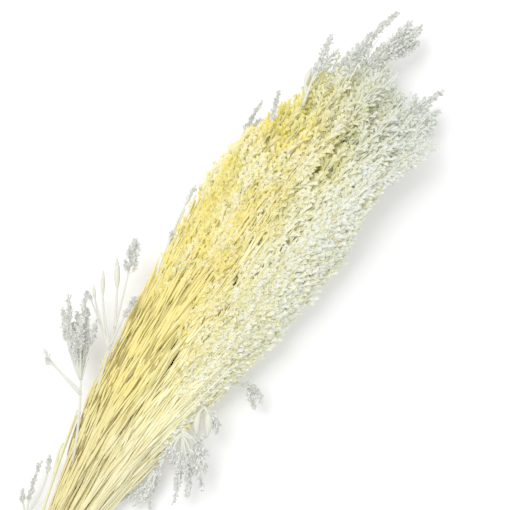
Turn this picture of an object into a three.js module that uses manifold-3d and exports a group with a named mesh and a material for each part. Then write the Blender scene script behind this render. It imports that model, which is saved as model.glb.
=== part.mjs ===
// A bunch of bleached dried caspia lying on a flat surface: 37 cut sprays, held by one elastic band
// near their cut ends. Each spray is one solid: a leading stem with one or two long branches, whose
// upper stretches are covered all round with small spikelets that point forward. Some sprays on the
// bunch's outside also carry a loose sprig that stands away from it. Sizes are in millimetres. +X runs
// from the cut ends to the tips, +Y across the bunch and +Z up. The origin is on the surface, under
// the middle of the bunch.
import * as THREE from "three";
import { mergeVertices } from "three/addons/utils/BufferGeometryUtils.js";
import Module from "manifold-3d";

const wasm = await Module();
wasm.setup();

// The gathered bunch, as sections along its length. x is counted from the cut ends, y and z are the
// section's middle, wide and tall its half width and half height, and flat is how far the surface has
// flattened its underside.
const SECTIONS = [
  { x: 0, y: -12.5, z: 14.2, wide: 14.2, tall: 13.6, flat: 0 },
  { x: 51, y: -7.4, z: 12, wide: 11.9, tall: 11.9, flat: 0 },
  { x: 105, y: -0.5, z: 15.8, wide: 21.5, tall: 15.5, flat: 0.2 },
  { x: 173, y: 6.4, z: 22, wide: 34, tall: 21, flat: 0.4 },
  { x: 242, y: 10.5, z: 28.5, wide: 45, tall: 28.5, flat: 0.5 },
  { x: 310, y: 10, z: 34.5, wide: 53.5, tall: 36, flat: 0.55 },
  { x: 374, y: 9, z: 38.5, wide: 61, tall: 42, flat: 0.6 },
  { x: 430, y: 9, z: 41, wide: 67, tall: 45, flat: 0.6 },
  { x: 490, y: 10.5, z: 41.5, wide: 75.5, tall: 46, flat: 0.6 },
  { x: 560, y: 9.5, z: 38.5, wide: 80, tall: 46, flat: 0.6 },
  { x: 630, y: -3, z: 32.5, wide: 107, tall: 46, flat: 0.5 },
  { x: 710, y: 2, z: 25.5, wide: 112, tall: 45, flat: 0.4 },
];
// The middle of the bunch, where the origin is.
const MIDDLE_X = 351.6;
const MIDDLE_Y = 19;

// The sprays stand in a hexagonal pattern, with RINGS rings round a middle one. In the pattern's
// measure, a section's half width and half height are both 1. Each spray keeps to its own room there.
const RINGS = 3;
const PITCH = 1 / (RINGS + 0.5);
const ROOM = PITCH / 2;
// Beyond the band the stems wind a little round the bunch, its core one way and its rim the other.
const WIND_LENGTH = 500;
const WIND_CORE = -0.4;
const WIND_RIM = 0.12;

// How far the sprays reach, from the bunch's right edge at -1 to its left edge at 1, and how much
// sooner those at its top and underside end.
const REACHES = [
  [-1, 490],
  [-0.86, 505],
  [-0.72, 600],
  [-0.57, 655],
  [-0.43, 672],
  [-0.29, 660],
  [-0.14, 660],
  [0, 700],
  [0.14, 692],
  [0.29, 670],
  [0.43, 648],
  [0.57, 608],
  [0.72, 568],
  [0.86, 530],
  [1, 490],
];
const REACH_FALL = 165;
const REACH_SPREAD = 22;

const STEM_RADIUS = 1.55;
const BRANCH_RADIUS = 1.15;
const STEM_TIP_SHARE = 0.5; // how thin a stem is at its first spikelets, against its lower end
const STEM_STEP = 62;
const CUT_SPREAD = 9; // the stems are cut to slightly different lengths
const SIDES = 3;

const CORE = 0.3; // sprays within this distance from the middle of the pattern have one branch only
const OUTER = 0.7; // sprays beyond this distance from the middle of the pattern are on its outside
const PLACE = 0.54; // how far from the middle of its spray's room a strand settles, against its radius
const SPIKELET_REACH = 0.42; // how far a spikelet stands out of its strand, in the same measure
const SPIKELET_ROW = 27;
const SPIKELET_LEAN = 9; // how far beyond the end of its row a spikelet's tip lies
const SPIKELET_CORE = 1.4; // the strand's own radius between its spikelets
const ROW_TURN = 0.9; // how far each row of spikelets is turned from the one before it
const SPRIG_STEP = 30;
const SPRIG_ROW = 15;
const SPRIG_LEAN = 6;
const SPRIG_REACH = 3.2;

const BAND_X = 51;
const BAND_WIDTH = 8;
const BAND_THICK = 1.2;
const BAND_CLEAR = 0.55;
const BAND_EDGE = 0.4;

// The loose sprigs. Each leaves its spray's stem at x. Its first twig bends from there past one point
// to another, and the others leave the first one at the share at of its length. flowers is the share of
// a twig's length where its spikelets start.
const SPRIGS = [
  {
    spray: 22,
    x: 210,
    twigs: [
      { by: [262, 52, 36], to: [386, 102, 50], flowers: 0.6 },
      { at: 0.4, by: [300, 76, 38], to: [353, 104, 42], flowers: 0.5 },
      { at: 0.28, by: [280, 70, 34], to: [334, 108, 36], flowers: 0.4 },
      { at: 0.35, by: [296, 62, 50], to: [338, 74, 62], flowers: 0.5 },
    ],
  },
  {
    spray: 22,
    x: 84,
    twigs: [
      { by: [112, 50, 16], to: [160, 57, 22], flowers: 0.6 },
      { at: 0.4, by: [150, 38, 24], to: [181, 60, 28], flowers: 0.7 },
    ],
  },
  {
    spray: 33,
    x: 540,
    twigs: [{ by: [596, 60, 70], to: [632, 68, 62], flowers: 0.4 }],
  },
  {
    spray: 27,
    x: 600,
    twigs: [{ by: [652, 46, 52], to: [691, 32, 44], flowers: 0.3 }],
  },
  {
    spray: 28,
    x: 192,
    twigs: [
      { by: [226, 42, 46], to: [295, 122, 46], flowers: 0.45 },
      { at: 0.4, by: [262, 88, 40], to: [306, 114, 36], flowers: 0.2 },
      { at: 0.45, by: [268, 86, 52], to: [319, 105, 54], flowers: 0.2 },
      { at: 0.5, by: [266, 98, 56], to: [303, 118, 60], flowers: 0.3 },
      { at: 0.3, by: [236, 84, 44], to: [257, 114, 40], flowers: 0.7 },
    ],
  },
  {
    spray: 23,
    x: 268,
    twigs: [
      { by: [290, -34, 50], to: [209, -68, 30], flowers: 0.5 },
      { at: 0.5, by: [250, -62, 40], to: [231, -84, 26], flowers: 0.2 },
      { at: 0.4, by: [266, -54, 46], to: [259, -68, 32], flowers: 0.3 },
    ],
  },
  {
    spray: 23,
    x: 292,
    twigs: [
      { by: [318, -38, 54], to: [285, -64, 36], flowers: 0.55 },
      { at: 0.5, by: [290, -48, 52], to: [272, -54, 44], flowers: 0.5 },
    ],
  },
  {
    spray: 16,
    x: 312,
    twigs: [{ by: [340, -52, 34], to: [327, -77, 28], flowers: 0.5 }],
  },
  {
    spray: 16,
    x: 216,
    twigs: [
      { by: [228, -36, 28], to: [188, -53, 16], flowers: 0.35 },
      { at: 0.4, by: [214, -46, 26], to: [206, -56, 14], flowers: 0.2 },
      { at: 0.5, by: [200, -40, 20], to: [184, -38, 12], flowers: 0.2 },
    ],
  },
];

// A repeatable run of numbers from 0 to 1 for each seed.
function drawsFrom(seed) {
  let state = (seed * 2654435761) >>> 0;
  return () => {
    state = (Math.imul(state, 1664525) + 1013904223) >>> 0;
    return state / 4294967296;
  };
}

function mix(a, b, share) {
  return a + (b - a) * share;
}

function shareOf(from, to, x) {
  return Math.min(Math.max((x - from) / (to - from), 0), 1);
}

function smooth(from, to, x) {
  const share = shareOf(from, to, x);
  return share * share * (3 - 2 * share);
}

// The bunch's section at x, on a smooth curve through the listed ones.
function sectionAt(x) {
  let i = 0;
  while (i < SECTIONS.length - 2 && SECTIONS[i + 1].x < x) i += 1;
  const [a, b] = [SECTIONS[i], SECTIONS[i + 1]];
  const [before, after] = [SECTIONS[i - 1] ?? a, SECTIONS[i + 2] ?? b];
  const gap = b.x - a.x;
  const t = shareOf(a.x, b.x, x);
  const section = {};
  for (const key of ["y", "z", "wide", "tall", "flat"]) {
    const slopeA = ((b[key] - before[key]) / (b.x - before.x)) * gap;
    const slopeB = ((after[key] - a[key]) / (after.x - a.x)) * gap;
    section[key] =
      a[key] * (2 * t ** 3 - 3 * t ** 2 + 1) +
      slopeA * (t ** 3 - 2 * t ** 2 + t) +
      b[key] * (3 * t ** 2 - 2 * t ** 3) +
      slopeB * (t ** 3 - t ** 2);
  }
  return section;
}

// The point of the bunch at x whose place in the pattern is u across and v up.
function inBunch(u, v, x) {
  const section = sectionAt(x);
  const wind = ((x - BAND_X) / WIND_LENGTH) * mix(WIND_CORE, WIND_RIM, Math.hypot(u, v));
  const across = u * Math.cos(wind) - v * Math.sin(wind);
  let up = u * Math.sin(wind) + v * Math.cos(wind);
  if (up < 0) up /= Math.sqrt(1 - section.flat * Math.min(across * across, 1));
  return new THREE.Vector3(x, section.y + section.wide * across, section.z + section.tall * up);
}

function patternPlaces() {
  const places = [];
  for (let row = -RINGS; row <= RINGS; row += 1) {
    const count = 2 * RINGS + 1 - Math.abs(row);
    for (let i = 0; i < count; i += 1) {
      places.push({ u: (i - (count - 1) / 2) * PITCH, v: (row * PITCH * Math.sqrt(3)) / 2 });
    }
  }
  return places;
}

function reachAt(u) {
  const i = Math.max(REACHES.findIndex(([place]) => place >= u), 1);
  const [a, b] = [REACHES[i - 1], REACHES[i]];
  return mix(a[1], b[1], shareOf(a[0], b[0], u));
}

// The strands of one spray: its leading stem first, then its branches. Each has its place in the
// spray's room and, near its end, a branch of an outer spray strays outward from the bunch.
function strandsOf({ u, v }, seed) {
  const draw = drawsFrom(seed);
  const distance = Math.hypot(u, v);
  const outer = distance > OUTER;
  const outward = Math.atan2(v, u);
  const tip = reachAt(u) - REACH_FALL * v * v + REACH_SPREAD * (draw() - 0.5);
  const turn = outer ? outward + Math.PI : draw() * 2 * Math.PI;
  const inner = mix(480, 400, distance / OUTER);
  const head = outer ? mix(290, 400, smooth(-0.9, 0.5, u)) : Math.min(inner, tip - 180);
  const strands = [];
  const branches = distance < CORE || v < -OUTER ? 1 : 2;
  for (let k = 0; k <= branches; k += 1) {
    const angle = turn + (k * 2 * Math.PI) / (branches + 1) + 0.3 * (draw() - 0.5);
    const start = k === 0 ? CUT_SPREAD * draw() : mix(92, 150, draw()) + 45 * (k - 1);
    const settled = k === 0 ? 250 : mix(250, 330, draw());
    const stray = outer && k > 0 ? mix(0.5, 1.5, draw()) : 0;
    strands.push({
      start,
      settled,
      leads: k === 0,
      head: head + 50 * draw(),
      tip: tip - (k === 0 ? 0 : mix(12, 80, draw())),
      place: [PLACE * Math.cos(angle), PLACE * Math.sin(angle)],
      stray: [stray * Math.cos(outward), stray * Math.max(Math.sin(outward), 0)],
      turn: draw() * 2 * Math.PI,
    });
  }
  return strands;
}

// Where in its spray's room a strand is at x. The leading stem starts in the middle of the room, and a
// branch starts in the leading stem.
function placeAt(strand, leader, x) {
  const share = smooth(strand.leads ? BAND_X : strand.start, strand.settled, x);
  const stray = smooth(mix(strand.head, strand.tip, 0.3), strand.tip + 40, x);
  const from = strand.leads ? [0, 0] : placeAt(leader, leader, x);
  return [0, 1].map((i) => mix(from[i], strand.place[i], share) + strand.stray[i] * stray);
}

// A solid from a geometry whose faces close on themselves.
function solidFrom(geometry) {
  const plain = new THREE.BufferGeometry();
  plain.setAttribute("position", geometry.getAttribute("position"));
  plain.setIndex(geometry.getIndex());
  const merged = mergeVertices(plain, 1e-4);
  return new wasm.Manifold(
    new wasm.Mesh({
      numProp: 3,
      vertProperties: new Float32Array(merged.getAttribute("position").array),
      triVerts: new Uint32Array(merged.getIndex().array),
    }),
  );
}

function ringPoint(centre, along, radius, angle) {
  const across = new THREE.Vector3(-along.y, along.x, 0).normalize();
  const up = along.clone().cross(across).normalize();
  const out = across.multiplyScalar(Math.cos(angle)).add(up.multiplyScalar(Math.sin(angle)));
  return centre.clone().addScaledVector(out, radius);
}

// A closed tube through stations along a curve. Each station has a centre, a radius and a turn. After a
// station that has tips, each face up to the next station is raised to a spikelet with its tip there.
function tubeSolid(stations, end) {
  const points = [];
  const faces = [];
  const corners = stations.map(({ centre, radius, turn }, j) => {
    const along = (stations[j + 1]?.centre ?? end).clone().sub(stations[j - 1]?.centre ?? centre);
    return Array.from({ length: SIDES }, (_, k) => {
      const angle = turn + (k * 2 * Math.PI) / SIDES;
      return points.push(ringPoint(centre, along.normalize(), radius, angle)) - 1;
    });
  });
  faces.push(corners[0].toReversed());
  const last = points.push(end) - 1;
  corners.forEach((ring, j) => {
    const next = corners[j + 1];
    for (let k = 0; k < SIDES; k += 1) {
      const l = (k + 1) % SIDES;
      if (!next) {
        faces.push([ring[k], ring[l], last]);
      } else if (stations[j].tips) {
        const tip = points.push(stations[j].tips[k]) - 1;
        faces.push([ring[k], ring[l], tip], [ring[l], next[l], tip]);
        faces.push([next[l], next[k], tip], [next[k], ring[k], tip]);
      } else {
        faces.push([ring[k], ring[l], next[l]], [ring[k], next[l], next[k]]);
      }
    }
  });
  const geometry = new THREE.BufferGeometry().setFromPoints(points);
  geometry.setIndex(faces.flat());
  return solidFrom(geometry);
}

function strandSolid(spray, strand, leader) {
  const at = (x, reach = 0, angle = 0) => {
    const [p, q] = placeAt(strand, leader, x);
    const u = spray.u + ROOM * (p + reach * Math.cos(angle));
    return inBunch(u, spray.v + ROOM * (q + reach * Math.sin(angle)), x);
  };
  const base = strand.leads ? STEM_RADIUS : BRANCH_RADIUS;
  const places = strand.leads ? [strand.start, BAND_X - BAND_WIDTH] : [];
  const from = strand.leads ? BAND_X + BAND_WIDTH : strand.start;
  const steps = Math.ceil((strand.head - from) / STEM_STEP);
  for (let j = 0; j < steps; j += 1) places.push(mix(from, strand.head, j / steps));
  const stations = places.map((x) => {
    const radius = base * mix(1, STEM_TIP_SHARE, shareOf(from, strand.head, x));
    return { centre: at(x), radius, turn: strand.turn };
  });
  const rows = Math.round((strand.tip - strand.head) / SPIKELET_ROW);
  for (let j = 0; j < rows; j += 1) {
    const turn = strand.turn + j * ROW_TURN;
    const next = mix(strand.head, strand.tip, (j + 1) / rows);
    const reach = SPIKELET_REACH * Math.sin(Math.PI * mix(0.22, 0.86, j / rows));
    const tips = [];
    for (let k = 0; k < SIDES; k += 1) {
      const angle = turn + ROW_TURN / 2 + ((k + 0.5) * 2 * Math.PI) / SIDES;
      tips.push(at(next + SPIKELET_LEAN, reach, angle));
    }
    const radius = SPIKELET_CORE * mix(1, 0.6, j / rows);
    const centre = at(mix(strand.head, strand.tip, j / rows));
    stations.push({ centre, radius, turn, tips: j < rows - 1 ? tips : null });
  }
  return tubeSolid(stations, at(strand.tip));
}

// A sprig's twig along a bend, thin at first and then with rows of spikelets.
function twigSolid(bend, flowers, seed) {
  const draw = drawsFrom(seed);
  const length = bend.getLength();
  const bare = Math.ceil((flowers * length) / SPRIG_STEP);
  const rows = Math.max(Math.round(((1 - flowers) * length) / SPRIG_ROW), 2);
  const stations = [];
  const turn = draw() * 2 * Math.PI;
  for (let j = 0; j < bare; j += 1) {
    stations.push({ centre: bend.getPoint((flowers * j) / bare), radius: mix(1, 0.7, j / bare), turn });
  }
  for (let j = 0; j < rows; j += 1) {
    const share = mix(flowers, 1, j / rows);
    const next = mix(flowers, 1, (j + 1) / rows);
    const centre = bend.getPoint(next).addScaledVector(bend.getTangent(next), SPRIG_LEAN);
    const reach = SPRIG_REACH * Math.sin(Math.PI * mix(0.3, 0.8, j / rows)) * mix(0.8, 1.2, draw());
    const tips = [];
    for (let k = 0; k < SIDES; k += 1) {
      const angle = turn + (j + 0.5) * ROW_TURN + ((k + 0.5) * 2 * Math.PI) / SIDES;
      tips.push(ringPoint(centre, bend.getTangent(next), reach, angle));
    }
    const station = { centre: bend.getPoint(share), radius: 0.9, turn: turn + j * ROW_TURN };
    stations.push({ ...station, tips: j < rows - 1 ? tips : null });
  }
  return tubeSolid(stations, bend.getPoint(1));
}

function sprigSolids(spray, leader, { x, twigs }, seed) {
  const [p, q] = placeAt(leader, leader, x);
  const bendFrom = (from, { by, to }) =>
    new THREE.QuadraticBezierCurve3(from, new THREE.Vector3(...by), new THREE.Vector3(...to));
  const first = bendFrom(inBunch(spray.u + ROOM * p, spray.v + ROOM * q, x), twigs[0]);
  return twigs.map((twig, i) => {
    const bend = i === 0 ? first : bendFrom(first.getPoint(twig.at), twig);
    return twigSolid(bend, twig.flowers, seed * 10 + i);
  });
}

function bandSolid() {
  const { y, z, wide } = sectionAt(BAND_X);
  const outline = (shape, offset) => {
    for (let k = 0; k < 6; k += 1) {
      const angle = (k * Math.PI) / 3;
      const corner = RINGS * PITCH * wide;
      const [across, up] = [corner * Math.cos(angle), corner * Math.sin(angle)];
      shape.absarc(across, up, offset, angle - Math.PI / 6, angle + Math.PI / 6);
    }
    shape.closePath();
    return shape;
  };
  const clear = STEM_RADIUS + BAND_CLEAR;
  const shape = outline(new THREE.Shape(), clear + BAND_THICK);
  shape.holes.push(outline(new THREE.Path(), clear));
  const geometry = new THREE.ExtrudeGeometry(shape, {
    depth: BAND_WIDTH - 2 * BAND_EDGE,
    bevelSize: BAND_EDGE,
    bevelThickness: BAND_EDGE,
    bevelOffset: -BAND_EDGE,
    bevelSegments: 1,
    curveSegments: 2,
  });
  geometry.translate(0, 0, BAND_EDGE - BAND_WIDTH / 2);
  geometry.rotateY(Math.PI / 2);
  geometry.rotateX(Math.PI / 2);
  geometry.rotateZ(Math.atan((sectionAt(BAND_X + 1).y - sectionAt(BAND_X - 1).y) / 2));
  geometry.translate(BAND_X, y, z);
  return solidFrom(geometry);
}

// What would reach below the surface that the bunch lies on is cut off flat.
const surface = solidFrom(new THREE.BoxGeometry(1000, 400, 40).translate(MIDDLE_X, 0, -20));

function meshFrom(solid, name, material) {
  const { vertProperties, triVerts } = solid.subtract(surface).getMesh();
  const geometry = new THREE.BufferGeometry();
  geometry.setAttribute("position", new THREE.BufferAttribute(vertProperties, 3));
  geometry.setIndex(new THREE.BufferAttribute(triVerts, 1));
  const mesh = new THREE.Mesh(geometry, material);
  mesh.name = name;
  return mesh;
}

const bunch = new THREE.Group();
bunch.position.set(-MIDDLE_X, -MIDDLE_Y, 0);
patternPlaces().forEach((spray, index) => {
  const strands = strandsOf(spray, index + 1);
  let solid = strandSolid(spray, strands[0], strands[0]);
  for (const strand of strands.slice(1)) solid = solid.add(strandSolid(spray, strand, strands[0]));
  SPRIGS.forEach((sprig, i) => {
    if (sprig.spray !== index + 1) return;
    for (const twig of sprigSolids(spray, strands[0], sprig, 100 + i)) solid = solid.add(twig);
  });
  const colour = new THREE.Color(0xe6ead8).lerp(new THREE.Color(0xf2e39c), mix(0.5, 1, spray.u));
  const material = new THREE.MeshStandardMaterial({ color: colour, roughness: 0.9, metalness: 0 });
  bunch.add(meshFrom(solid, `spray_${String(index + 1).padStart(2, "0")}`, material));
});
const rubber = new THREE.MeshStandardMaterial({ color: 0xd8c79a, roughness: 0.75, metalness: 0 });
bunch.add(meshFrom(bandSolid(), "stem_band", rubber));

export default bunch;
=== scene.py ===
import math

import bpy
import numpy as np
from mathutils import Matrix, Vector


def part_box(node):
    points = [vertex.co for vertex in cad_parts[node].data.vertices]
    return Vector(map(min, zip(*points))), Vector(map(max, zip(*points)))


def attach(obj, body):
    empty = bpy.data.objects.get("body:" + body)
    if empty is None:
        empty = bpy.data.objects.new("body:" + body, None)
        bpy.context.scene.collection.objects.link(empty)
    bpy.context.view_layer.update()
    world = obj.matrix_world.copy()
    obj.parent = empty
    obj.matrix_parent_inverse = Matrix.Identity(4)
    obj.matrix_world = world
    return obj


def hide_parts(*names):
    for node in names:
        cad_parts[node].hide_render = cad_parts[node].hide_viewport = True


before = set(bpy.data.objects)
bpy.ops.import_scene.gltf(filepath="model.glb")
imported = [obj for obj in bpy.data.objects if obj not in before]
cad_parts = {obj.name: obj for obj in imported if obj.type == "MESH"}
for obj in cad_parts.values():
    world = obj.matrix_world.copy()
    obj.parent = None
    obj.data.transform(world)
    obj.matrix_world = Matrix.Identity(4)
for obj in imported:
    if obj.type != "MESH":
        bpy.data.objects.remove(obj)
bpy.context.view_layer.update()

# ---- Sprays --------------------------------------------------------------------------------------
# Thirty-seven cut stems of bleached, dried caspia, wiry below and branching above into tapering
# heads of small papery florets. A band holds them near their cut ends, and they fan out over the
# surface, each in its own room of a hexagonal pattern, where the solids have it.

# Sizes are in millimetres, with x from the cut ends, until a mesh is made. In the pattern, the
# bunch's radius is 1.
RINGS = 3
PITCH = 1 / (RINGS + 0.5)
ROOM = PITCH / 2
OUTER = 0.7  # sprays further than this from the middle of the pattern are on the bunch's outside
BAND_X = 51  # where the band holds the stems
# Past the band the bunch is wound by these angles in each WIND_LENGTH, at its core and at its rim.
WIND_LENGTH = 500
WIND_CORE = -0.4
WIND_RIM = 0.12

# Along the bunch: x, the section's middle y and z, its half width and half height, and how far the
# surface has flattened its underside.
SECTIONS = np.array([
    (0, -12.5, 14.2, 14.2, 13.6, 0),
    (51, -7.4, 12, 11.9, 11.9, 0),
    (105, -0.5, 15.8, 21.5, 15.5, 0.2),
    (173, 6.4, 22, 34, 21, 0.4),
    (242, 10.5, 28.5, 45, 28.5, 0.5),
    (310, 10, 34.5, 53.5, 36, 0.55),
    (374, 9, 38.5, 61, 42, 0.6),
    (430, 9, 41, 67, 45, 0.6),
    (490, 10.5, 41.5, 75.5, 46, 0.6),
    (560, 9.5, 38.5, 80, 46, 0.6),
    (630, -3, 32.5, 107, 46, 0.5),
    (710, 2, 25.5, 112, 45, 0.4),
])
# How far the sprays reach, from the bunch's right edge at -1 to its left edge at 1.
REACHES = np.array([
    (-1, 490), (-0.86, 505), (-0.72, 600), (-0.57, 655), (-0.43, 672), (-0.29, 660), (-0.14, 660),
    (0, 700), (0.14, 692), (0.29, 670), (0.43, 648), (0.57, 608), (0.72, 568), (0.86, 530),
    (1, 490),
])
# How far the flowers reach, in the same way. Only bare twigs stand out further.
FLOWER_REACHES = np.array([
    (-1.2, 440), (-1, 500), (-0.86, 515), (-0.78, 590), (-0.7, 622), (-0.6, 646), (-0.5, 664),
    (-0.4, 670), (-0.22, 655), (-0.06, 656), (0, 672), (0.05, 690), (0.28, 688), (0.36, 664),
    (0.48, 648), (0.6, 612), (0.72, 572), (0.86, 532), (1, 482), (1.1, 430),
])
HIGHEST = 77.8  # no flowering twig reaches higher


def mix(a, b, share):
    return a + (b - a) * share


def smooth(start, end, x):
    share = np.clip((x - start) / (end - start), 0.0, 1.0)
    return share * share * (3 - 2 * share)


def section_at(x):
    """The bunch's section at x, on a smooth curve through the listed ones."""
    x = np.asarray(x, float)
    last = len(SECTIONS) - 1
    i = np.clip(np.searchsorted(SECTIONS[:, 0], x, side="left") - 1, 0, last - 1)
    a, b = SECTIONS[i], SECTIONS[i + 1]
    before, after = SECTIONS[np.maximum(i - 1, 0)], SECTIONS[np.minimum(i + 2, last)]
    gap = b[..., :1] - a[..., :1]
    t = np.clip((x[..., None] - a[..., :1]) / gap, 0, 1)
    slope_a = (b - before) / (b[..., :1] - before[..., :1]) * gap
    slope_b = (after - a) / (after[..., :1] - a[..., :1]) * gap
    return (a * (2 * t**3 - 3 * t**2 + 1) + slope_a * (t**3 - 2 * t**2 + t)
            + b * (3 * t**2 - 2 * t**3) + slope_b * (t**3 - t**2))


band_low, band_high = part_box("stem_band")
band_middle = (np.array(band_low) + np.array(band_high)) / 2 * 1000
ORIGIN = np.array([band_middle[0] - BAND_X, band_middle[1] - section_at(BAND_X)[1], 0])


def in_bunch(u, v, x):
    """Points of the bunch at x whose place in the pattern is u across and v up."""
    u, v, x = np.broadcast_arrays(np.asarray(u, float), v, x)
    section = section_at(x)
    wind = (x - BAND_X) / WIND_LENGTH * mix(WIND_CORE, WIND_RIM, np.hypot(u, v))
    across = u * np.cos(wind) - v * np.sin(wind)
    up = u * np.sin(wind) + v * np.cos(wind)
    pressed = np.sqrt(1 - section[..., 5] * np.minimum(across**2, 1))
    up = np.where(up < 0, up / pressed, up)
    y = section[..., 1] + section[..., 3] * across
    z = section[..., 2] + section[..., 4] * up
    return np.stack([x, y, z], axis=-1) + ORIGIN


def pattern_places():
    places = []
    for row in range(-RINGS, RINGS + 1):
        count = 2 * RINGS + 1 - abs(row)
        for i in range(count):
            places.append(((i - (count - 1) / 2) * PITCH, row * PITCH * math.sqrt(3) / 2))
    return places


def draws_from(seed):
    """A repeatable run of numbers from 0 to 1, the same one that places the solids' strands."""
    state = seed * 2654435761 % 2**32
    while True:
        state = (state * 1664525 + 1013904223) % 2**32
        yield state / 2**32


class Strand:
    """A stem or branch of one spray. Its place is in the spray's own room, whose radius is 1."""

    PAST_TIP = 12  # how far flowers stand past the tip of their stem
    WAVER = 0.28  # how far the flowering stretch waves to each side
    WAVE_ACROSS, WAVE_UP = 26, 21
    # Twigs this far from the pattern's middle are drawn to the bunch's surface. It dips at the top.
    DRAWN_FROM, DRAWN_WHOLLY = 0.66, 0.84
    TOP_DIP = 0.09
    PRESSED_ABOVE = 76  # what would be higher than this is pressed down by half

    def __init__(self, spray, start, settled, head, tip, place, stray, turn, leader=None):
        self.spray, self.start, self.settled, self.head, self.tip = spray, start, settled, head, tip
        self.place, self.stray = np.array(place), np.array(stray)
        self.turn, self.leader = turn, leader

    def trimmed(self):
        """The same strand, ending where the flowers end."""
        section = section_at(self.tip)
        across = (self.at(np.array(self.tip))[1] - ORIGIN[1] - section[1]) / section[3]
        self.tip = min(self.tip, np.interp(across, *FLOWER_REACHES.T) - self.PAST_TIP)
        return self

    def branch(self, start, grown, head, tip, away, angle):
        """A branch that leaves this stem at start and has settled away from it once grown."""
        place = (away * math.cos(angle), away * math.sin(angle))
        return Strand(self.spray, start, start + grown, head, tip, place, (0, 0), angle, self)

    def place_at(self, x):
        x = np.asarray(x, float)
        share = smooth(self.start if self.leader else BAND_X, self.settled, x)[..., None]
        strays = smooth(mix(self.head, self.tip, 0.3), self.tip + 40, x)[..., None]
        begins = self.leader.place_at(x) if self.leader else np.zeros(x.shape + (2,))
        waver = self.WAVER * smooth(self.head - 60, self.head + 60, x)[..., None]
        across = np.sin(x / self.WAVE_ACROSS + self.turn)
        up = np.sin(x / self.WAVE_UP + 2 * self.turn)
        waves = np.stack([across, up], axis=-1)
        return mix(begins, self.place, share) + self.stray * strays + waver * waves

    def at(self, x, reach=0, angle=0, drawn=0):
        """Its points at x, or those a reach away from it. Outer ones are drawn to the surface."""
        place = self.place_at(x)
        u = self.spray[0] + ROOM * (place[..., 0] + reach * np.cos(angle))
        v = self.spray[1] + ROOM * (place[..., 1] + reach * np.sin(angle))
        away = np.hypot(u, v) + 1e-6
        surface = 1 - self.TOP_DIP * np.maximum(v / away, 0)**2
        near = smooth(self.DRAWN_FROM, self.DRAWN_WHOLLY, away)
        scale = 1 + drawn * np.abs(v) / away * near * (surface / away - 1)
        points = in_bunch(u * scale, v * scale, x)
        points[..., 2] -= 0.5 * np.maximum(points[..., 2] - self.PRESSED_ABOVE, 0)
        return points


TIP_DROP = 165  # how much sooner a spray ends at the pattern's top or bottom
TIP_SPREAD = 22
HEADS_OUTSIDE = (290, 400)  # where flowers begin on the bunch's right and left
HEADS_INSIDE = (480, 400)  # and in its middle and next to its outside
SHORTEST_HEAD = 180
BRANCH_AWAY = 0.54  # a branch's distance from the middle of its spray's room


def strands_of(spray, seed):
    """The leading stem of a spray and its branches, as the solids have them."""
    draw = draws_from(seed)
    u, v = spray
    distance, outward = math.hypot(u, v), math.atan2(v, u)
    outer = distance > OUTER
    tip = np.interp(u, *REACHES.T) - TIP_DROP * v * v + TIP_SPREAD * (next(draw) - 0.5)
    turn = outward + math.pi if outer else next(draw) * 2 * math.pi
    if outer:
        head = mix(*HEADS_OUTSIDE, smooth(-0.9, 0.5, u))
    else:
        head = min(mix(*HEADS_INSIDE, distance / OUTER), tip - SHORTEST_HEAD)
    branches = 1 if distance < 0.3 or v < -OUTER else 2
    strands = []
    for k in range(branches + 1):
        angle = turn + k * 2 * math.pi / (branches + 1) + 0.3 * (next(draw) - 0.5)
        start = mix(92, 150, next(draw)) + 45 * (k - 1) if k else 9 * next(draw)
        settled = mix(250, 330, next(draw)) if k else 250
        stray = mix(0.5, 1.5, next(draw)) if outer and k else 0
        flowers_from = head + 50 * next(draw)
        ends = tip - mix(12, 80, next(draw)) if k else tip
        place = (BRANCH_AWAY * math.cos(angle), BRANCH_AWAY * math.sin(angle))
        strays = (stray * math.cos(outward), stray * max(math.sin(outward), 0))
        turned = next(draw) * 2 * math.pi
        leader = strands[0] if k else None
        strand = Strand(spray, start, settled, flowers_from, ends, place, strays, turned, leader)
        strands.append(strand)
    return strands


def unit(vectors):
    return vectors / np.maximum(np.linalg.norm(vectors, axis=-1, keepdims=True), 1e-9)


def square_to(along):
    """Two directions square to each one given, the first of them level."""
    level = unit(np.stack([-along[..., 1], along[..., 0], np.zeros(along.shape[:-1])], axis=-1))
    return level, np.cross(along, level)


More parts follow.
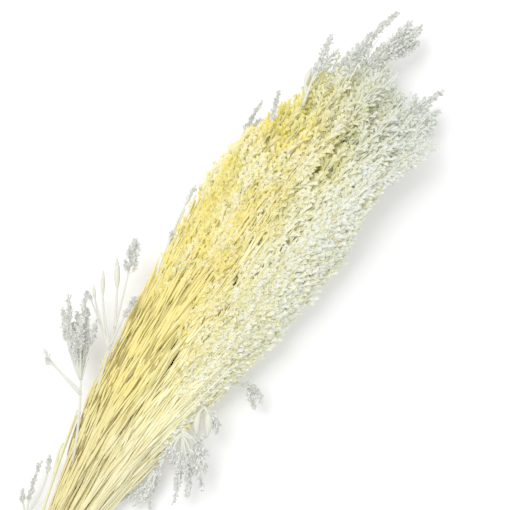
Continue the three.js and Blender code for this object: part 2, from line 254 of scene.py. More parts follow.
class Growth:
    """The mesh of one piece while it grows: its corners, its faces and the finish of each face."""

    def __init__(self):
        self.corners, self.faces, self.finish, self.count = [], [], [], 0

    def add(self, corners, faces, finish):
        """Adds copies of one form. corners is (copies, corners of each, 3)."""
        copies, each = corners.shape[:2]
        starts = self.count + each * np.arange(copies)
        for face in faces:
            self.faces.append(starts[:, None] + np.array(face))
            self.finish.append(np.full(copies, finish))
        self.corners.append(corners.reshape(-1, 3))
        self.count += copies * each

    def tubes(self, paths, radii, sides, finish):
        """Adds closed tubes, one along each path of stations."""
        copies, stations = paths.shape[:2]
        level, up = square_to(unit(np.gradient(paths, axis=1)))
        angles = 2 * math.pi * np.arange(sides) / sides
        out = level[:, :, None] * np.cos(angles)[:, None] + up[:, :, None] * np.sin(angles)[:, None]
        radii = np.broadcast_to(radii, (copies, stations))[..., None, None]
        rings = paths[:, :, None] + out * radii
        first_end = list(range(sides))[::-1]
        faces = [first_end, [(stations - 1) * sides + k for k in range(sides)]]
        for j in range(stations - 1):
            for k in range(sides):
                a, b = j * sides + k, j * sides + (k + 1) % sides
                faces.append([a, b, b + sides, a + sides])
        self.add(rings.reshape(copies, -1, 3), faces, finish)

    def piece(self, name, finishes, rounded):
        """The object in metres. Faces of the finishes in rounded are shaded smooth."""
        corners = np.concatenate(self.corners) * 0.001
        corners[:, 2] = np.maximum(corners[:, 2], 0.0002)
        sizes = np.concatenate([np.full(len(face), face.shape[1]) for face in self.faces])
        loops = np.concatenate([face.ravel() for face in self.faces])
        mesh = bpy.data.meshes.new(name)
        mesh.vertices.add(len(corners))
        mesh.vertices.foreach_set("co", corners.ravel())
        mesh.loops.add(len(loops))
        mesh.loops.foreach_set("vertex_index", loops)
        mesh.polygons.add(len(sizes))
        mesh.polygons.foreach_set("loop_start", np.concatenate([[0], np.cumsum(sizes)[:-1]]))
        finish = np.concatenate(self.finish)
        mesh.polygons.foreach_set("material_index", finish)
        mesh.polygons.foreach_set("use_smooth", np.isin(finish, rounded))
        mesh.update(calc_edges=True)
        for material in finishes:
            mesh.materials.append(material)
        made = bpy.data.objects.new(name, mesh)
        bpy.context.collection.objects.link(made)
        return made


# A floret is a papery funnel with a narrow foot and an uneven five-cornered rim.
FLORET_SIDES = 5
FLORET_LENGTH = 9.6
FLORET_RIM = 2.5
THROAT = 0.6  # how far up the funnel its inside begins
UNEVEN = 0.1
STEM, FLORET = 0, 1  # the places of a piece's first two finishes


def floret_form():
    angles = 2 * math.pi * np.arange(FLORET_SIDES) / FLORET_SIDES
    height = FLORET_LENGTH * (1 - UNEVEN * np.sin(2 * angles))
    rim = np.column_stack([FLORET_RIM * np.cos(angles), FLORET_RIM * np.sin(angles), height])
    corners = np.vstack([[(0, 0, 0), (0, 0, THROAT * FLORET_LENGTH)], rim])
    faces = []
    for k in range(FLORET_SIDES):
        a, b = 2 + k, 2 + (k + 1) % FLORET_SIDES
        faces += [[0, b, a], [1, a, b]]
    return corners, faces


FLORET_CORNERS, FLORET_FACES = floret_form()


def add_florets(growth, points, directions, sizes):
    """Florets whose feet are at points and which open in the directions."""
    level, up = square_to(directions)
    x, y, z = (FLORET_CORNERS[:, i][None, :, None] for i in range(3))
    form = x * level[:, None] + y * up[:, None] + z * directions[:, None]
    growth.add(points[:, None] + form * sizes[:, None, None], FLORET_FACES, FLORET)


LEAF_TURN = 2.4  # the angle from one twig or floret to the next round its stem
TWIG_RADIUS = 0.36
TWIG_TAPER = np.array([[1, 0.85, 0.6]])
FLORETS_FROM = 0.3  # the share of a twig that is bare
SIDE_LEAN, END_LEAN = 0.36, 0.1  # how far florets lean out from their twig, in radians
# Towards the bunch's tips florets lean out further and are smaller: how much, and between which x
# of the frame.
WIDER_LEAN, WIDER_AT = 1.5, (200, 290)
SMALLER, SMALLER_AT = 0.72, (160, 280)


def add_spikes(growth, roots, elbows, tips, rng, florets, size=1.0):
    """Flowering twigs from roots past elbows to tips, with florets round the outer part of each."""
    count = len(roots)

    def bend(t):
        near, past = roots[:, None] * (1 - t)**2, elbows[:, None] * 2 * t * (1 - t)
        return near + past + tips[:, None] * t**2

    radii = TWIG_RADIUS * size * TWIG_TAPER
    growth.tubes(bend(np.linspace(0, 1, 3)[None, :, None]), radii, 3, STEM)
    order = np.arange(florets)
    each = (count, florets)
    places = mix(FLORETS_FROM, 1, order / (florets - 1)) + rng.uniform(-0.03, 0.03, each)
    points = bend(places[..., None])
    ahead = unit(bend(places[..., None] + 0.03) - bend(places[..., None] - 0.03))
    level, up = square_to(ahead)
    angle = LEAF_TURN * order + rng.uniform(0, 2 * math.pi, (count, 1))
    angle = angle + rng.uniform(-0.4, 0.4, each)
    lean = np.where(order == florets - 1, END_LEAN, SIDE_LEAN) * rng.uniform(0.3, 1.8, each)
    lean = lean * mix(1, WIDER_LEAN, smooth(*WIDER_AT, tips[:, :1]))
    out = level * np.cos(angle)[..., None] + up * np.sin(angle)[..., None]
    directions = unit(ahead * np.cos(lean)[..., None] + out * np.sin(lean)[..., None])
    sizes = size * rng.uniform(0.75, 1.1, each) * mix(1, 0.8, order / florets)
    add_florets(growth, points.reshape(-1, 3), directions.reshape(-1, 3), sizes.ravel())


HEAD_BEGINS_BEFORE = 15  # flowers begin a little sooner than the solids' spikelets
HEAD_ENDS_BEFORE = 14  # and the last of them grow from a little before the stem's tip
TWIG_REACHES = (0.35, 1.15)  # how far twigs stand away from their stem, in radii of a room
TWIG_RUNS = (15, 30)  # and how far they run along it
SHORTER_AT_TIP, SHORTER_AT_RIM = 0.4, 0.9


def add_head(growth, strand, rng, spacing, florets):
    """The flowering twigs all round the upper stretch of one strand."""
    first = strand.head - HEAD_BEGINS_BEFORE
    length = strand.tip - HEAD_ENDS_BEFORE - first
    count = int(length / spacing)
    if count < 1:
        return
    order = np.arange(count)
    starts = first + length * (order + rng.uniform(0, 1, count)) / count
    angle = strand.turn + LEAF_TURN * order + rng.uniform(-0.8, 0.8, count)
    fullness = np.sin(math.pi * mix(0.25, 0.84, order / count))
    # On the bunch's rim, twigs that face out of it are short.
    u, v = strand.spray
    rim = smooth(0.55, 0.8, math.hypot(u, v))
    facing_out = np.maximum(np.cos(angle - math.atan2(v, u)), 0)
    reach = mix(*TWIG_REACHES, rng.random(count)) * fullness
    reach = reach * (1 - SHORTER_AT_RIM * rim * facing_out)
    near_tip = smooth(strand.tip - 120, strand.tip, starts)
    runs = rng.uniform(*TWIG_RUNS, count) * (1 - SHORTER_AT_TIP * near_tip)
    roots = strand.at(starts)
    elbows = strand.at(starts + 0.45 * runs, 0.65 * reach, angle, 0.6)
    tips = strand.at(starts + runs, reach, angle + rng.uniform(-1, 1, count), 0.9)
    # None reaches past the ends and the top of the bunch's flowers.
    section = section_at(starts + runs)
    across = (tips[:, 1] - ORIGIN[1] - section[:, 1]) / section[:, 3]
    kept = starts + runs < np.interp(across, *FLOWER_REACHES.T) + rng.uniform(-8, 8, count)
    kept &= tips[:, 2] < HIGHEST
    sizes = mix(1, SMALLER, smooth(*SMALLER_AT, tips[:, :1]))
    if kept.any():
        add_spikes(growth, roots[kept], elbows[kept], tips[kept], rng, florets, sizes[kept])


BRACTS_FROM = 200
BRACTS_PAST_HEAD = 20
BRACT_LENGTHS, BRACT_RADII = (20, 45), (0.8, 1.6)
BRACT_SHAPE = np.array([0.2, 0.8, 1, 0.9, 0.6, 0.1])  # its width along it, beside the widest place


def add_bracts(growth, strand, rng, spacing):
    """Narrow dry bracts that lie along one strand, below its flowers."""
    count = int((strand.head + BRACTS_PAST_HEAD - BRACTS_FROM) / spacing)
    middles = BRACTS_FROM + spacing * (np.arange(count) + rng.uniform(0, 1, count))
    angle = rng.uniform(0, 2 * math.pi, count)[:, None]
    t = np.linspace(-0.5, 0.5, len(BRACT_SHAPE))
    x = middles[:, None] + t * rng.uniform(*BRACT_LENGTHS, (count, 1))
    reach = 0.25 + rng.uniform(0.2, 0.6, (count, 1)) * (t + 0.5)
    radii = rng.uniform(*BRACT_RADII, (count, 1)) * BRACT_SHAPE
    growth.tubes(strand.at(x, reach, angle, 0.6), radii, 4, STEM)


STATION = 9  # from one ring of a stem's mesh to the next
SWAY = 0.5
SWAYS = [(1, 23, 9), (2, 27, 11)]  # the axis and the lengths of its long waves and short ones


def add_stem(growth, strand, rng, thick, thin, sides=6):
    """One wiry stem or twig along a strand, from a thick to a thin radius, with a slight sway."""
    stations = int((strand.tip - strand.start) / STATION)
    x = np.linspace(strand.start, strand.tip, stations)
    path = strand.at(x)
    sway = SWAY * smooth(BAND_X + 10, BAND_X + 120, x)
    phase = rng.uniform(0, 2 * math.pi, 4)
    for (axis, long, short), begins in zip(SWAYS, phase.reshape(2, 2)):
        waves = np.sin(x / long + begins[0]) + 0.6 * np.sin(x / short + begins[1])
        path[:, axis] += sway * waves
    radii = mix(thick, thin, smooth(strand.start, strand.head + 120, x))
    radii = radii * rng.uniform(0.92, 1.08, stations)
    growth.tubes(path[None], radii[None], sides, STEM)


class Reading:
    """A value that a finish reads from point to point. Sums written with it add Math nodes."""

    def __init__(self, finish, socket):
        self.finish, self.socket = finish, socket

    def sum(self, operation, a, b):
        return self.finish.add("ShaderNodeMath", {"operation": operation}, {0: a, 1: b})

    def __add__(self, other):
        return self.sum("ADD", self, other)

    def __sub__(self, other):
        return self.sum("SUBTRACT", self, other)

    def __rsub__(self, other):
        return self.sum("SUBTRACT", other, self)

    def __mul__(self, other):
        return self.sum("MULTIPLY", self, other)

    def __truediv__(self, other):
        return self.sum("DIVIDE", self, other)

    __radd__ = __add__
    __rmul__ = __mul__


class Finish:
    """A material while its nodes are joined."""

    def __init__(self, name, roughness):
        self.material = bpy.data.materials.new(name)
        self.material.use_nodes = True
        self.tree = self.material.node_tree
        self.shader = self.tree.nodes["Principled BSDF"]
        self.shader.inputs["Roughness"].default_value = roughness

    def feed(self, socket, value):
        """Joins a reading to a socket, or sets a plain value on it."""
        if isinstance(value, Reading):
            self.tree.links.new(value.socket, socket)
        else:
            socket.default_value = value

    def add(self, kind, settings=None, sockets=None, result=0):
        """Adds one node: its type, its settings, what its sockets get, and which result is read."""
        node = self.tree.nodes.new(kind)
        for name, value in (settings or {}).items():
            setattr(node, name, value)
        for name, value in (sockets or {}).items():
            self.feed(node.inputs[name], value)
        return Reading(self, node.outputs[result])

    def blend(self, share, first, second):
        settings = {"data_type": "RGBA", "clamp_factor": True}
        return self.add("ShaderNodeMix", settings, {0: share, 6: first, 7: second}, 2)

    def both_ways(self, tint):
        """A tint as a colour and as a shader that lets light of that colour through."""
        if len(tint) == 2:
            return tint
        return tint, self.add("ShaderNodeBsdfTranslucent", None, {"Color": tint})

    def tint(self, share, first, second):
        """The tint between two others, both as a colour and as a shader that lets light through."""
        (first, first_through), (second, second_through) = map(self.both_ways, (first, second))
        shaders = {0: share, 1: first_through, 2: second_through}
        return self.blend(share, first, second), self.add("ShaderNodeMixShader", None, shaders)

    def step(self, value, low, high):
        sockets = {"Value": value, "From Min": low, "From Max": high}
        return self.add("ShaderNodeMapRange", {"interpolation_type": "SMOOTHSTEP"}, sockets)

    def place(self, axis=None, kind="Object"):
        """Where a point is in metres, or that along one axis. With Normal, which way it faces."""
        place = self.add("ShaderNodeTexCoord", result=kind)
        if axis is None:
            return place
        return self.add("ShaderNodeSeparateXYZ", None, {0: place}, axis)

    def noise(self, size, stretch=(1, 1, 1), detail=2):
        """A cloudy number from 0 to 1, in patches of a size in metres, longer by each stretch."""
        scale = tuple(1 / (size * s) for s in stretch)
        settings = {"operation": "MULTIPLY"}
        place = self.add("ShaderNodeVectorMath", settings, {0: self.place(), 1: scale})
        sockets = {"Vector": place, "Scale": 1.0, "Detail": detail}
        return self.add("ShaderNodeTexNoise", None, sockets)

    def each(self):
        """A number from 0 to 1 that differs from one floret or stem to the next."""
        return self.add("ShaderNodeNewGeometry", result="Random Per Island")

    def colour(self, value):
        self.feed(self.shader.inputs["Base Color"], value)

    def bump(self, height, depth):
        bumped = self.add("ShaderNodeBump", None, {"Height": height, "Distance": depth})
        self.feed(self.shader.inputs["Normal"], bumped)

    def petals(self, tint, share):
        """Gives a tint to thin dry petals, which let a share of the light through."""
        colour, through = tint
        self.colour(colour)
        front = Reading(self, self.shader.outputs[0])
        both = self.add("ShaderNodeMixShader", None, {0: share, 1: front, 2: through})
        self.feed(self.tree.nodes["Material Output"].inputs["Surface"], both)


def shade(red, green, blue):
    """A colour from its 0 to 255 numbers on a screen."""
    share = np.array([red, green, blue]) / 255
    linear = np.where(share <= 0.04045, share / 12.92, ((share + 0.055) / 1.055) ** 2.4)
    return (*linear.tolist(), 1.0)


def warmth(finish):
    """1 on the bunch's golden left side and 0 on its paler right side and tips."""
    side = finish.step(finish.place(1), -0.08, 0.03)
    return side * (1 - finish.step(finish.place(0), 0.25, 0.33) * 0.8)


def across_bunch(finish):
    """From -1 at the bunch's right edge to 1 at its left edge. The numbers are in metres."""
    half_width = finish.place(0) * 0.129 + 0.059
    return (finish.place(1) + 0.012) / half_width


def bleached(finish):
    """0 deep in the bunch and 1 on its outside. The golden colour deep in the bunch is painted
    shade.
    """
    x, across = finish.place(0), across_bunch(finish)
    middle = finish.step(x, -0.12, 0.08) * 0.012 - finish.step(x, 0.15, 0.36) * 0.016 + 0.029
    half_height = finish.step(x, -0.12, 0.1) * 0.016 - finish.step(x, 0.18, 0.34) * 0.028 + 0.03
    up = (finish.place(2) - middle) / half_height
    return finish.step(across * across + up * up, 0.3, 0.75)


# Bleached white to yellow petals, golden in patches where the bleach has missed them, warmer on
# the bunch's left and greyer towards its tips. Painted shade makes them golden deep in the bunch
# and on faces turned away from above, and lime-olive in scattered patches that stand for shaded
# gaps.
florets = Finish("bleached papery floret", 0.85)
warm = warmth(florets) + (florets.each() - 0.5) * 0.4 + (florets.noise(0.03) - 0.5) * 0.9
along = florets.step(florets.place(0), -0.1, 0.05) * 0.07
along = along - florets.step(florets.place(0), 0.08, 0.25) * 0.1
gold = florets.step(florets.noise(0.02, (3, 1, 1)) + warm * 0.1 + along, 0.55, 0.72)
outer_petal = florets.tint(gold, shade(254, 250, 212), shade(251, 239, 134))
outer_petal = florets.tint(warm, shade(252, 253, 250), outer_petal)
# Painted shade: the colour of petals deep in the bunch, golden on the left and pale green-cream on
# the right, stands for the shade in the gaps between florets.
painted_shade_petal = florets.tint(warm, shade(244, 247, 212), shade(244, 236, 76))
plumes = florets.step(florets.noise(0.0045, (3.5, 1, 1)), 0.4, 0.47) * 0.7 + 0.3
# Painted light: faces turned up take more of the pale outer colour, faces turned aside or down more
# of the golden inner one.
painted_top_light = florets.step(florets.place(2, "Normal"), 0, 0.8) * 0.4 + 0.6
petal = florets.tint(bleached(florets) * plumes * painted_top_light, painted_shade_petal, outer_petal)
# Painted shade: scattered lime-olive patches stand for shaded gaps between the florets.
painted_gap_shade = florets.step(florets.noise(0.0035, (3, 1, 1)), 0.59, 0.63) * 0.9
petal = florets.tint(painted_gap_shade, petal, shade(218, 210, 100))
greyer = florets.step(florets.place(0) - florets.place(1) * 0.15, 0.175, 0.345) * 0.75
greyer = greyer + florets.step(florets.place(0), 0.02, 0.15) * (1 - warmth(florets)) * 0.2
florets.petals(florets.tint(greyer, petal, shade(222, 227, 222)), 0.5)
florets.bump(florets.noise(0.0008), 0.00005)

# Straw with fine lengthwise streaks, warmer on the left, duller near the cut ends and pale among
# the flowers. On the left a few deep brown stretches are painted shadow of the gaps between stems.
stems = Finish("dry straw stem", 0.7)
streaks = stems.noise(0.0012, (30, 1, 1), 3)
each = stems.each()
across = across_bunch(stems)
warm = warmth(stems) + (streaks - 0.5) * 0.9 + (each - 0.6) * 0.6
warm = warm + (stems.noise(0.003, (4, 1, 1)) - 0.5) + stems.step(across, 0, 0.4) * 0.3
straw = stems.blend(warm, shade(240, 237, 182), shade(226, 206, 92))
near_cut_ends = 1 - stems.step(stems.place(0), -0.14, -0.075)
straw = stems.blend(near_cut_ends * 0.45, straw, shade(206, 194, 134))
# Painted shadow: deep brown stretches on the left stand for the shaded gaps between stems.
painted_gap_shadow = stems.step(stems.noise(0.0035, (14, 1, 1)) * 0.7 + each, 1.1, 1.15)
painted_gap_shadow = painted_gap_shadow * stems.step(across, -0.1, 0.4) * (1 - stems.step(stems.place(0), -0.1, 0.1))
straw = stems.blend(painted_gap_shadow, straw, shade(128, 106, 30))
stems.colour(stems.blend(stems.step(stems.place(0), 0.1, 0.3), straw, shade(226, 229, 214)))
stems.bump(streaks, 0.0003)

STEM_RADIUS, BRANCH_RADIUS, TIP_RADIUS = 1.35, 1.05, 0.35
PALE_SIDE = -0.2  # sprays further right than this in the pattern are pale

for index, spray in enumerate(pattern_places()):
    rng = np.random.default_rng(100 + index)
    growth = Growth()
    outer = math.hypot(*spray) > OUTER
    outward = math.atan2(spray[1], spray[0])
    # How far flowering twigs are from each other on stems and on thin branches, and how many such
    # branches grow. Outside they are closer, side by side, so that the bunch's surface is closed.
    stem_spacing, branch_spacing, thin_branches = (6.8, 8.6, 9) if outer else (15, 18, 3)
    strands = strands_of(spray, index + 1)
    leader = strands[0]
    for strand in [strand.trimmed() for strand in strands]:
        radius = BRANCH_RADIUS if strand.leader else STEM_RADIUS
        add_stem(growth, strand, rng, radius, TIP_RADIUS)
        add_head(growth, strand, rng, stem_spacing, florets=6)
    for k in range(thin_branches):
        turned = 2 * k / (thin_branches - 1) - 1
        angle = outward + 1.5 * turned + rng.uniform(-0.2, 0.2)
        angle = angle if outer else rng.uniform(0, 2 * math.pi)
        away = rng.uniform(mix(0.5, 0.85, abs(turned)), 1.05) * (1 - 0.35 * max(math.sin(angle), 0))
        start = rng.uniform(70, 210)
        head = leader.head + rng.uniform(-70, 50)
        tip = leader.tip - rng.uniform(20, 120)
        thin = leader.branch(start, 130, head, tip, away, angle)
        add_stem(growth, thin.trimmed(), rng, 0.8, 0.4, sides=4)
        add_head(growth, thin, rng, branch_spacing, florets=6)
        if outer:
            add_bracts(growth, thin, rng, spacing=16)
    # Short branches that fill out the spray's tip.
    for _ in range(3):
        start = leader.tip - rng.uniform(110, 170)
        angle = rng.uniform(0, 2 * math.pi)
        away = rng.uniform(0.3, 1)
        tip = leader.tip - rng.uniform(0, 40)
        short = leader.branch(start, 70, start + 20, tip, away, angle)
        add_stem(growth, short.trimmed(), rng, 0.6, TIP_RADIUS, sides=4)
        add_head(growth, short, rng, spacing=7, florets=7)
    # Bare twigs that lie on the flowers.
    for _ in range(4 if outer else 0):
        start = min(leader.head - rng.uniform(20, 120), leader.tip - 200)
        angle = outward + rng.uniform(-1.2, 1.2)
        away = rng.uniform(0.9, 1.2)
        tip = start + rng.uniform(60, 140)
        bare = leader.branch(start, 60, tip, tip, away, angle)
        add_stem(growth, bare, rng, 0.6, 0.3, sides=4)
    # Bare twigs that cross the neighbouring stems.
    for k in range(5 if outer else 0):
        start = rng.uniform(60, 170)
        angle = outward + (-1) ** k * rng.uniform(1.1, 1.7)
        away = rng.uniform(1.2, 2.6)
        tip = rng.uniform(300, 380)
        bare = leader.branch(start, 230, tip, tip, away, angle)
        add_stem(growth, bare, rng, 0.8, 0.3, sides=4)
    name = f"spray_{index + 1:02d}"
    piece = growth.piece(f"{name}_in_flower", [stems.material, florets.material], [STEM])
    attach(piece, "root")
    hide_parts(name)
    "golden_caspia" if spray[0] > PALE_SIDE else "pale_caspia"

# ---- Loose sprigs --------------------------------------------------------------------------------
# Side twigs that stand away from the bunch, each grown out of one spray's stem. They are thinner
# and greyer than the rest, because light reaches them from all round.

# For each sprig: its spray, x where it leaves that spray's stem, and its twigs. The first twig
# bends from there past one point to another, and the rest do so from the first one, at a share of
# its length. The last two numbers of a twig are the share of its own length where its flowers
# start, 1 for none, and how far they stand from it. Below 0, one closed bud of that radius ends it.
SPRIGS = [
    (22, 210, [((300, 66, 44), (383, 102, 50), 0, 0.84, 5.5),
               ((336, 88, 44), (364, 109, 46), 0.56, 0.55, -2.6),
               ((318, 96, 38), (347, 113, 40), 0.47, 0.62, -1.9),
               ((312, 97, 38), (330, 113, 36), 0.45, 0.72, -1.4),
               ((306, 88, 38), (318, 107, 38), 0.46, 0.9, 0.3),
               ((322, 72, 50), (341, 72, 58), 0.47, 0.5, 1)]),
    (22, 84, [((106, 44, 16), (161, 56, 22), 0, 0.6, 0.2),
              ((118, 46, 20), (131, 54, 24), 0.5, 0.5, 0.2),
              ((150, 38, 24), (172, 52, 28), 0.5, 0.7, 0.2)]),
    (33, 578, [((604, 58, 50), (642, 65, 54), 0, 0.45, 2),
               ((612, 56, 50), (634, 54, 52), 0.4, 0.4, 1.5),
               ((594, 62, 50), (612, 64, 52), 0.2, 0.4, -2.4)]),
    (27, 600, [((646, 40, 52), (696, 30, 44), 0, 0.2, 2.6),
               ((640, 32, 56), (663, 36, 54), 0.2, 0.2, 5)]),
    (28, 176, [((244, 58, 44), (297, 106, 48), 0, 0.75, 1.8),
               ((262, 92, 44), (292, 119, 46), 0.6, 0.6, 1.4),
               ((276, 98, 50), (306, 121, 56), 0.6, 0.7, 1.2),
               ((270, 86, 52), (320, 112, 54), 0.6, 0.74, 1.2),
               ((274, 82, 48), (306, 102, 44), 0.6, 0.55, 1.6),
               ((272, 76, 48), (302, 89, 44), 0.6, 0.6, 1.4),
               ((266, 84, 36), (286, 104, 38), 0.6, 0.3, 2),
               ((270, 90, 58), (288, 96, 58), 0.6, 0.3, 2),
               ((264, 80, 52), (281, 98, 50), 0.6, 0.3, 2),
               ((268, 78, 42), (290, 90, 46), 0.6, 0.35, 2),
               ((262, 86, 48), (290, 112, 52), 0.6, 0.5, 1.6),
               ((266, 80, 56), (296, 100, 56), 0.6, 0.5, 1.8),
               ((244, 84, 44), (253, 112, 40), 0.5, 0.85, 0.2),
               ((246, 86, 44), (248, 104, 40), 0.52, 0.85, 0.2)]),
    (23, 268, [((284, -36, 48), (208, -66, 28), 0, 0.6, 1.8),
               ((240, -62, 40), (222, -72, 26), 0.4, 0.3, 2),
               ((256, -56, 46), (235, -79, 32), 0.4, 0.3, 2.2),
               ((268, -52, 44), (250, -72, 34), 0.4, 0.3, 2.2),
               ((270, -46, 46), (264, -62, 38), 0.35, 0.4, 1.8),
               ((252, -30, 44), (231, -36, 30), 0.4, 0.4, 1.2),
               ((248, -34, 44), (240, -43, 34), 0.4, 0.4, 1.6),
               ((250, -48, 40), (228, -55, 30), 0.4, 0.35, 2.2),
               ((262, -46, 46), (276, -52, 42), 0.35, 0.4, 1.2),
               ((250, -50, 40), (241, -62, 30), 0.4, 0.35, 2.2)]),
    (23, 292, [((306, -42, 54), (288, -58, 38), 0, 0.55, 2.2),
               ((298, -46, 50), (276, -56, 42), 0.4, 0.3, -3.6),
               ((288, -34, 48), (272, -48, 42), 0.4, 0.3, -3)]),
    (16, 312, [((346, -54, 34), (325, -74, 28), 0, 0.55, 2),
               ((342, -62, 34), (333, -76, 28), 0.45, 0.3, 1.8),
               ((330, -50, 36), (339, -57, 36), 0.3, 0.5, 0.5)]),
    (16, 216, [((228, -36, 28), (207, -44, 16), 0, 0.3, 1.8),
               ((214, -46, 26), (183, -39, 14), 0.4, 0.4, 1.5),
               ((200, -40, 20), (176, -25, 12), 0.5, 0.3, 1.2),
               ((204, -34, 22), (190, -49, 12), 0.4, 0.3, 1.8)]),
    (26, 626, [((662, 16, 44), (696, 14, 38), 0, 0.2, 5.5),
               ((680, 8, 42), (698, 5, 36), 0.4, 0.1, 5.5),
               ((676, 4, 38), (686, 0, 32), 0.4, 0.1, 5)]),
    (24, 600, [((640, -38, 44), (661, -46, 40), 0, 0.4, 1.8),
               ((634, -44, 44), (646, -54, 38), 0.4, 0.2, 1.8)]),
    (28, 280, [((366, 62, 46), (454, 83, 46), 0, 1, 0),
               ((372, 66, 44), (410, 80, 42), 0.4, 0.9, 0.3)]),
    (22, 300, [((358, 66, 38), (438, 84, 42), 0, 1, 0),
               ((410, 82, 42), (456, 88, 42), 0.6, 0.8, 0.4)]),
    (22, 470, [((516, 82, 44), (553, 83, 46), 0, 0.65, 0.6),
               ((524, 78, 50), (541, 76, 52), 0.45, 0.5, 0.5)]),
    (33, 530, [((552, 68, 66), (570, 73, 66), 0, 0.4, 0.8)]),
    (22, 60, [((130, 32, 26), (226, 57, 36), 0, 1, 0),
              ((166, 42, 26), (222, 54, 34), 0.3, 1, 0),
              ((182, 50, 28), (192, 50, 30), 0.66, 1, 0)]),
]

sprig_florets = Finish("grey papery floret", 0.85)
petal = sprig_florets.tint(sprig_florets.each(), shade(188, 191, 181), shade(236, 238, 231))
sprig_florets.petals(petal, 0.3)
sprig_stems = Finish("grey dry twig", 0.7)
twig_streaks = sprig_stems.noise(0.0015, (1, 1, 1), 3)
sprig_stems.colour(sprig_stems.blend(twig_streaks, shade(176, 178, 160), shade(210, 212, 194)))
buds = Finish("grey closed bud", 0.8)
bud_streaks = buds.noise(0.002, (2, 1, 1), 3)
buds.colour(buds.blend(bud_streaks, shade(176, 178, 150), shade(214, 214, 196)))
bare_stems = Finish("pale straw twig", 0.7)
straw_streaks = bare_stems.noise(0.0015, (8, 1, 1), 3)
bare_stems.colour(bare_stems.blend(straw_streaks, shade(192, 188, 112), shade(222, 218, 156)))


def bend_point(bend, t):
    """Points at shares t of a curve that starts and ends at two of three points, past another."""
    t = np.asarray(t, float)[..., None]
    return bend[0] * (1 - t)**2 + bend[1] * 2 * t * (1 - t) + bend[2] * t**2


BARE, BUD = 2, 3  # the finishes of the twigs that have no flowers and of the closed buds
TWIG_STARTS, TWIG_ENDS, BARE_ENDS = 1.5, 0.7, 1  # radii
SPRIG_FLORET = 0.55  # beside the florets of the sprays
SPRIG_RUNS = (3, 5)
places = pattern_places()
for index, (number, x, twigs) in enumerate(SPRIGS):
    rng = np.random.default_rng(200 + index)
    growth = Growth()
    leader = strands_of(places[number - 1], number)[0]
    first = None
    for by, to, share, flowers, width in twigs:
        root = leader.at(np.array(x)) if first is None else bend_point(first, share)
        bend = (root, np.array(by) + ORIGIN, np.array(to) + ORIGIN)
        first = first or bend
        t = np.linspace(0, 1, 16)
        bare = flowers == 1
        radii = mix(TWIG_STARTS, BARE_ENDS if bare else TWIG_ENDS, t)
        growth.tubes(bend_point(bend, t)[None], radii[None], 5, BARE if bare else STEM)
        if width < 0:
            swelling = 0.3 - width * np.sin(math.pi * t)**0.8
            growth.tubes(bend_point(bend, mix(flowers, 1, t))[None], swelling[None], 6, BUD)
        if bare or width < 0:
            continue
        length = np.linalg.norm(np.diff(bend_point(bend, t), axis=0), axis=1).sum()
        count = max(int((1 - flowers) * length * (0.5 + 0.1 * width)), 4)
        order = np.arange(count)
        starts = mix(flowers, 0.99, order / count) + rng.uniform(-0.01, 0.01, count)
        roots = bend_point(bend, starts)
        ahead = unit(bend_point(bend, starts + 0.02) - bend_point(bend, starts - 0.02))
        level, up = square_to(ahead)
        angle = (LEAF_TURN * order + rng.uniform(-0.5, 0.5, count))[:, None]
        out = level * np.cos(angle) + up * np.sin(angle)
        fullness = np.sin(math.pi * mix(0.35, 0.97, order / count))
        reach = (width * fullness * rng.uniform(0.7, 1.2, count))[:, None]
        runs = rng.uniform(*SPRIG_RUNS, (count, 1)) + 0.5 * width
        tips = roots + ahead * runs + out * reach
        elbows = roots + ahead * runs * 0.4 + out * reach * 0.7
        add_spikes(growth, roots, elbows, tips, rng, florets=4, size=SPRIG_FLORET)
    finishes = [sprig_stems.material, sprig_florets.material, bare_stems.material, buds.material]
    piece = growth.piece(f"loose_sprig_{index + 1}", finishes, [STEM, BARE, BUD])
    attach(piece, "root")
    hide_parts(f"spray_{number:02d}")

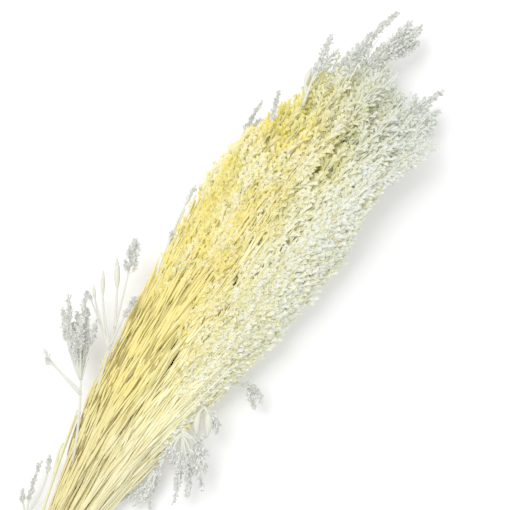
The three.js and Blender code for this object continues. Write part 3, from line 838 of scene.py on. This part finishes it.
# ---- Elastic band --------------------------------------------------------------------------------
# A flat band of natural rubber, stretched round the stems near their cut ends and held by its own
# tension. It stays as the solid has it.
rubber = Finish("natural rubber", 0.6)
ribs = rubber.noise(0.0006, (8, 1, 1), 2)
rubber.bump(ribs, 0.0002)
rubber.colour(rubber.blend(ribs, shade(206, 184, 132), shade(226, 208, 160)))
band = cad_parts["stem_band"]
band.data.materials.clear()
band.data.materials.append(rubber.material)

# ---- Surface, light and camera -------------------------------------------------------------------
# A plain white surface in a white room, with one broad light from beyond the bunch's left side. The
# camera looks straight down.
bpy.ops.mesh.primitive_plane_add(size=8)
surface = bpy.context.object
surface.name = "white_surface"
paper = Finish("white paper", 0.9)
grain = paper.noise(0.002)
paper.colour(paper.blend(grain, shade(242, 242, 242), shade(245, 245, 245)))
surface.data.materials.append(paper.material)

ROOM_LIGHT = 0.86
world = bpy.data.worlds.new("white room")
bpy.context.scene.world = world
world.use_nodes = True
world.node_tree.nodes["Background"].inputs["Color"].default_value = (1, 1, 1, 1)
world.node_tree.nodes["Background"].inputs["Strength"].default_value = ROOM_LIGHT

WINDOW_WATTS = 25
WINDOW_SIZE = 0.9  # of its side, in metres as all from here on
WINDOW_AT = Vector((0.24, 0.8, 1.7))
LIT_POINT = Vector((0.09, 0, 0.03))
window_light = bpy.data.lights.new("window", "AREA")
window_light.energy = WINDOW_WATTS
window_light.size = WINDOW_SIZE
window = bpy.data.objects.new("window", window_light)
window.location = WINDOW_AT
toward_bunch = LIT_POINT - WINDOW_AT
window.rotation_euler = toward_bunch.to_track_quat("-Z", "Y").to_euler()
bpy.context.collection.objects.link(window)

VIEW_WIDTH = 0.474  # of what the camera sees at VIEW_LEVEL
VIEW_LEVEL = 0.045
VIEW_HEIGHT = 1.5
VIEW_MIDDLE = (0.0889, -0.013)
VIEW_TURN = -54.5  # degrees
view = bpy.data.cameras.new("view from above")
view.sensor_width = 36
view.lens = view.sensor_width * (VIEW_HEIGHT - VIEW_LEVEL) / VIEW_WIDTH
camera = bpy.data.objects.new("view from above", view)
camera.location = (*VIEW_MIDDLE, VIEW_HEIGHT)
camera.rotation_euler = (0, 0, math.radians(VIEW_TURN))
bpy.context.collection.objects.link(camera)
scene = bpy.context.scene
scene.camera = camera
scene.view_settings.view_transform = "Standard"
scene.view_settings.gamma = 1.8
scene.cycles.diffuse_bounces = 12  # so that light reaches the florets and stems deep in the bunch
